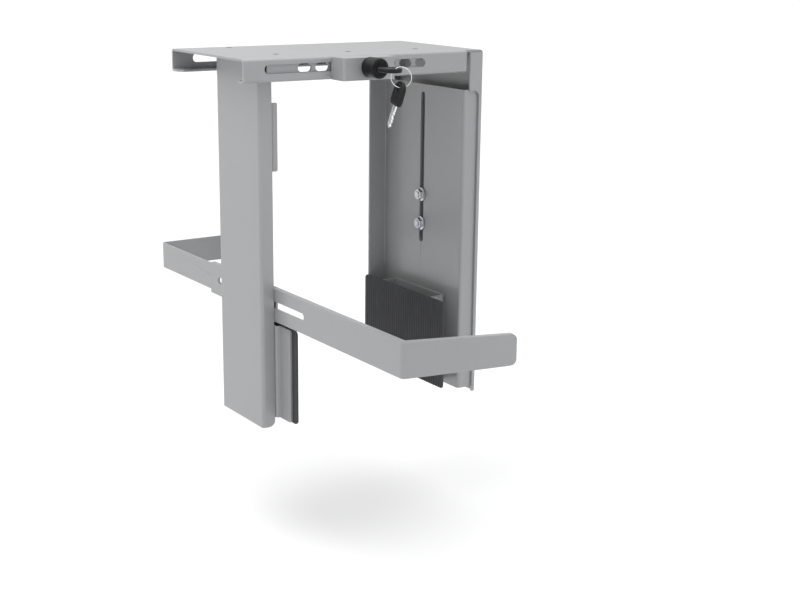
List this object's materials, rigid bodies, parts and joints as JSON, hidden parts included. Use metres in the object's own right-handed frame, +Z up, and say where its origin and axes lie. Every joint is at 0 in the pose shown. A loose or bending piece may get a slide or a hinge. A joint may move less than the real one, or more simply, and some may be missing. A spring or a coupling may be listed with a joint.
{
  "type": "under-desk computer holder",
  "caption": "Lockable under-desk holder that clamps a computer tower between two height-adjustable sides, with hooked arms in front and behind.",
  "frame": {"origin": "centre of the desk plate's upper face, which lies against the underside of the desk", "axes": "+Z up into the desk, +Y to the rear of the computer, +X from the sliding side to the fixed side"},
  "size_m": [0.262, 0.4866, 0.345],
  "materials": {
    "powder_coat": "fine satin powder coat, light silver grey",
    "zinc_fastener": "bright zinc plate",
    "nickel_plate": "polished nickel plate, lightly scratched",
    "black_lock_metal": "satin black",
    "black_key_plastic": "moulded black plastic",
    "rubber_facing": "fine ribbed dark rubber"
  },
  "bodies": {
    "desk_unit": {"desk_frame": "powder_coat", "lock_housing": "powder_coat", "lock_barrel": "black_lock_metal", "lock_clip": "zinc_fastener", "right_guide_stud_upper": "zinc_fastener", "right_guide_stud_lower": "zinc_fastener", "right_guide_nut_upper": "zinc_fastener", "right_guide_nut_lower": "zinc_fastener"},
    "sliding_side": {"sliding_bracket": "powder_coat", "left_guide_stud_upper": "zinc_fastener", "left_guide_stud_lower": "zinc_fastener", "left_guide_nut_upper": "zinc_fastener", "left_guide_nut_lower": "zinc_fastener"},
    "left_carriage_unit": {"left_carriage": "powder_coat", "left_ear_front": "powder_coat", "left_ear_rear": "powder_coat", "left_clamp_plate": "powder_coat", "left_facing": "rubber_facing", "left_clamp_screw_upper": "zinc_fastener", "left_clamp_screw_lower": "zinc_fastener", "left_clamp_nut_upper": "zinc_fastener", "left_clamp_nut_lower": "zinc_fastener", "arm_screw_front": "zinc_fastener", "arm_nut_front": "zinc_fastener", "arm_screw_rear": "zinc_fastener", "arm_nut_rear": "zinc_fastener"},
    "right_carriage_unit": {"right_carriage": "powder_coat", "right_clamp_plate": "powder_coat", "right_facing": "rubber_facing", "right_clamp_screw_upper": "zinc_fastener", "right_clamp_screw_lower": "zinc_fastener", "right_clamp_nut_upper": "zinc_fastener", "right_clamp_nut_lower": "zinc_fastener"},
    "front_arm": {"front_arm": "powder_coat"},
    "rear_arm": {"rear_arm": "powder_coat"},
    "lock_plug": {"lock_plug": "black_lock_metal"},
    "lock_bolt": {"lock_bolt": "nickel_plate"},
    "key": {"key_blade": "nickel_plate", "key_bow": "black_key_plastic"},
    "key_ring": {"key_ring": "nickel_plate"},
    "spare_key": {"spare_key_blade": "nickel_plate", "spare_key_bow": "black_key_plastic"}
  },
  "joints": [
    {"name": "width_slide", "type": "slide", "parent": "desk_unit", "child": "sliding_side", "axis": [1, 0, 0], "range_m": [-0.0543, 0.0543]},
    {"name": "left_height_slide", "type": "slide", "parent": "sliding_side", "child": "left_carriage_unit", "axis": [0, 0, 1], "range_m": [-0.1, 0.015]},
    {"name": "right_height_slide", "type": "slide", "parent": "desk_unit", "child": "right_carriage_unit", "axis": [0, 0, 1], "range_m": [-0.1, 0.015]},
    {"name": "front_arm_slide", "type": "slide", "parent": "left_carriage_unit", "child": "front_arm", "axis": [0, 1, 0], "range_m": [-0.045, 0.065]},
    {"name": "rear_arm_slide", "type": "slide", "parent": "left_carriage_unit", "child": "rear_arm", "axis": [0, 1, 0], "range_m": [-0.045, 0.01]},
    {"name": "lock_turn", "type": "hinge", "parent": "desk_unit", "child": "lock_plug", "pos_m": [-0.014, -0.1, -0.0095], "axis": [0, 1, 0], "range_deg": [0, 90]},
    {"name": "bolt_slide", "type": "slide", "parent": "desk_unit", "child": "lock_bolt", "axis": [0, 1, 0], "range_m": [0, 0.00901]},
    {"name": "key_pull", "type": "slide", "parent": "lock_plug", "child": "key", "axis": [0, -1, 0], "range_m": [0, 0.025]},
    {"name": "ring_swing", "type": "hinge", "parent": "key", "child": "key_ring", "pos_m": [-0.00758, -0.13182, -0.0095], "axis": [0.788, -0.6157, 0], "range_deg": [-10, 10]},
    {"name": "spare_key_swing", "type": "hinge", "parent": "key_ring", "child": "spare_key", "pos_m": [-0.00758, -0.13182, -0.02446], "axis": [0.6157, 0.788, 0], "range_deg": [-20, 5]}
  ],
  "couplings": [
    {"joint": "bolt_slide", "follows": "lock_turn", "m_per_rad": 0.0057296}
  ]
}
